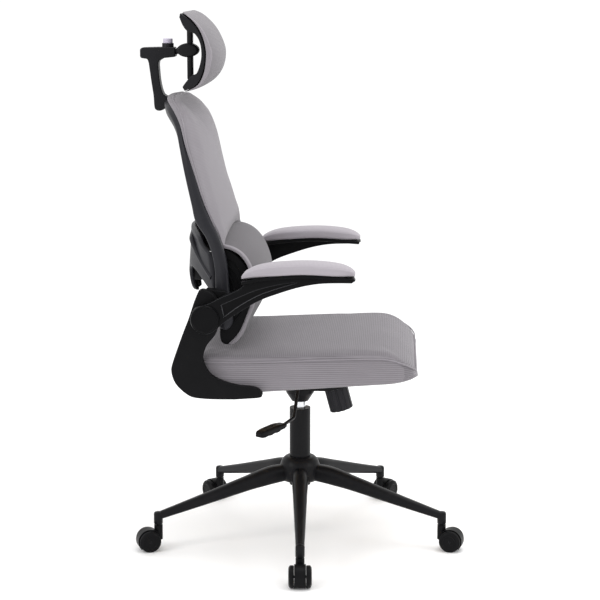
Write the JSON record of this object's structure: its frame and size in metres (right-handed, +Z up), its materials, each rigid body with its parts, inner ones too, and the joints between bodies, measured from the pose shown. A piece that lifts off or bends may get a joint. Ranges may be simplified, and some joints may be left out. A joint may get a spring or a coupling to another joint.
{
  "type": "office chair",
  "caption": "High-back swivel task chair with flip-up armrests, lumbar pad and adjustable headrest, gas lift, tilt mechanism and caster base.",
  "frame": {"origin": "on the floor under the swivel axis", "axes": "+Z up, the seat faces -Y, the sitter's right is -X"},
  "size_m": [0.7486, 0.7715, 1.249],
  "materials": {
    "grey_fabric": "ribbed woven mesh, matt",
    "black_nylon": "fine moulded texture, satin",
    "painted_steel": "satin black powder coat",
    "bright_steel": "bright zinc or chrome",
    "grey_plastic": "light grey moulded, satin",
    "plywood": "bare plywood"
  },
  "bodies": {
    "base": {"base_hub": "painted_steel", "base_leg_1": "painted_steel", "base_leg_2": "painted_steel", "base_leg_3": "painted_steel", "base_leg_4": "painted_steel", "base_leg_5": "painted_steel", "column_tube": "painted_steel", "column_bush": "black_nylon", "thrust_bearing": "bright_steel"},
    "piston": {"piston_rod": "bright_steel"},
    "mechanism": {"gas_cylinder": "bright_steel", "tilt_housing": "painted_steel", "tilt_pin": "bright_steel", "tilt_spring": "bright_steel"},
    "knob": {"tension_knob": "black_nylon", "tension_bolt": "bright_steel"},
    "lever_pivot": {"lever_bush": "black_nylon"},
    "lever": {"lever_rod": "painted_steel", "lever_grip": "black_nylon"},
    "seat": {"seat_plate": "painted_steel", "seat_bolts": "bright_steel", "seat_board": "plywood", "seat_cushion": "grey_fabric", "seat_bracket_right": "black_nylon", "seat_bracket_left": "black_nylon", "bracket_bolts": "bright_steel", "arm_pin_right": "black_nylon", "arm_pin_left": "black_nylon", "back_frame": "black_nylon", "back_bridge": "black_nylon", "back_pad": "grey_fabric", "headrest_post": "black_nylon"},
    "armrest_right": {"arm_right": "black_nylon", "arm_pad_right": "grey_fabric"},
    "armrest_left": {"arm_left": "black_nylon", "arm_pad_left": "grey_fabric"},
    "lumbar": {"lumbar_shell": "black_nylon", "lumbar_pad": "grey_fabric", "lumbar_guides": "black_nylon"},
    "release_button": {"headrest_button": "grey_plastic"},
    "headrest_arm": {"headrest_slider": "black_nylon", "headrest_pin": "bright_steel"},
    "headrest_mount": {"headrest_bracket": "black_nylon"},
    "headrest": {"headrest_plate": "black_nylon", "headrest_pad": "grey_fabric"},
    "caster_1": {"caster_1_housing": "black_nylon", "caster_1_stem_and_axle": "bright_steel"},
    "caster_1_roller": {"caster_1_wheels": "black_nylon"},
    "caster_2": {"caster_2_housing": "black_nylon", "caster_2_stem_and_axle": "bright_steel"},
    "caster_2_roller": {"caster_2_wheels": "black_nylon"},
    "caster_3": {"caster_3_housing": "black_nylon", "caster_3_stem_and_axle": "bright_steel"},
    "caster_3_roller": {"caster_3_wheels": "black_nylon"},
    "caster_4": {"caster_4_housing": "black_nylon", "caster_4_stem_and_axle": "bright_steel"},
    "caster_4_roller": {"caster_4_wheels": "black_nylon"},
    "caster_5": {"caster_5_housing": "black_nylon", "caster_5_stem_and_axle": "bright_steel"},
    "caster_5_roller": {"caster_5_wheels": "black_nylon"}
  },
  "joints": [
    {"name": "seat_swivel", "type": "hinge", "parent": "base", "child": "piston", "pos_m": [0, 0, 0.2], "axis": [0, 0, 1], "continuous": true},
    {"name": "gas_lift", "type": "slide", "parent": "piston", "child": "mechanism", "axis": [0, 0, 1], "range_m": [0, 0.085]},
    {"name": "tilt", "type": "hinge", "parent": "mechanism", "child": "seat", "pos_m": [0, -0.044, 0.388], "axis": [-1, 0, 0], "range_deg": [0, 14], "stiffness_Nm_per_rad": 220, "springref_deg": -20.05},
    {"name": "tilt_tension", "type": "hinge", "parent": "mechanism", "child": "knob", "pos_m": [0, -0.0855, 0.3657], "axis": [0, 0.2588, 0.9659], "range_deg": [-360, 360]},
    {"name": "height_lever", "type": "hinge", "parent": "mechanism", "child": "lever_pivot", "pos_m": [-0.05, 0, 0.382], "axis": [1, 0, 0], "range_deg": [0, 15], "stiffness_Nm_per_rad": 1.5, "springref_deg": -22.92},
    {"name": "tilt_lock", "type": "slide", "parent": "lever_pivot", "child": "lever", "axis": [-1, 0, 0], "range_m": [0, 0.01]},
    {"name": "armrest_right_fold", "type": "hinge", "parent": "seat", "child": "armrest_right", "pos_m": [-0.287, 0.193, 0.586], "axis": [-1, 0, 0], "range_deg": [0, 90]},
    {"name": "armrest_left_fold", "type": "hinge", "parent": "seat", "child": "armrest_left", "pos_m": [0.287, 0.193, 0.586], "axis": [-1, 0, 0], "range_deg": [0, 90]},
    {"name": "lumbar_give", "type": "slide", "parent": "seat", "child": "lumbar", "axis": [0, 1, 0], "range_m": [0, 0.012], "stiffness_N_per_m": 3000, "springref_m": -0.02},
    {"name": "button_press", "type": "slide", "parent": "seat", "child": "release_button", "axis": [0, 0, -1], "range_m": [0, 0.004], "stiffness_N_per_m": 400, "springref_m": -0.003},
    {"name": "headrest_reach", "type": "slide", "parent": "seat", "child": "headrest_arm", "axis": [0, -1, 0], "range_m": [0, 0.02]},
    {"name": "headrest_tilt", "type": "hinge", "parent": "headrest_arm", "child": "headrest_mount", "pos_m": [0, 0.277, 1.16], "axis": [1, 0, 0], "range_deg": [-15, 20]},
    {"name": "headrest_height", "type": "slide", "parent": "headrest_mount", "child": "headrest", "axis": [0, 0, 1], "range_m": [0, 0.028]},
    {"name": "caster_1_swivel", "type": "hinge", "parent": "base", "child": "caster_1", "pos_m": [-0.34949, -0.01893, 0.06], "axis": [0, 0, 1], "continuous": true},
    {"name": "caster_1_roll", "type": "hinge", "parent": "caster_1", "child": "caster_1_roller", "pos_m": [-0.37345, -0.02022, 0.025], "axis": [0.0541, -0.9985, 0], "continuous": true},
    {"name": "caster_2_swivel", "type": "hinge", "parent": "base", "child": "caster_2", "pos_m": [-0.09, -0.33823, 0.06], "axis": [0, 0, 1], "continuous": true},
    {"name": "caster_2_roll", "type": "hinge", "parent": "caster_2", "child": "caster_2_roller", "pos_m": [-0.09617, -0.36142, 0.025], "axis": [0.9664, -0.2571, 0], "continuous": true},
    {"name": "caster_3_swivel", "type": "hinge", "parent": "base", "child": "caster_3", "pos_m": [0.29387, -0.19011, 0.06], "axis": [0, 0, 1], "continuous": true},
    {"name": "caster_3_roll", "type": "hinge", "parent": "caster_3", "child": "caster_3_roller", "pos_m": [0.31402, -0.20315, 0.025], "axis": [0.5432, 0.8396, 0], "continuous": true},
    {"name": "caster_4_swivel", "type": "hinge", "parent": "base", "child": "caster_4", "pos_m": [0.27162, 0.22074, 0.06], "axis": [0, 0, 1], "continuous": true},
    {"name": "caster_4_roll", "type": "hinge", "parent": "caster_4", "child": "caster_4_roller", "pos_m": [0.29024, 0.23587, 0.025], "axis": [-0.6307, 0.776, 0], "continuous": true},
    {"name": "caster_5_swivel", "type": "hinge", "parent": "base", "child": "caster_5", "pos_m": [-0.126, 0.32653, 0.06], "axis": [0, 0, 1], "continuous": true},
    {"name": "caster_5_roll", "type": "hinge", "parent": "caster_5", "child": "caster_5_roller", "pos_m": [-0.13464, 0.34892, 0.025], "axis": [-0.933, -0.36, 0], "continuous": true}
  ]
}
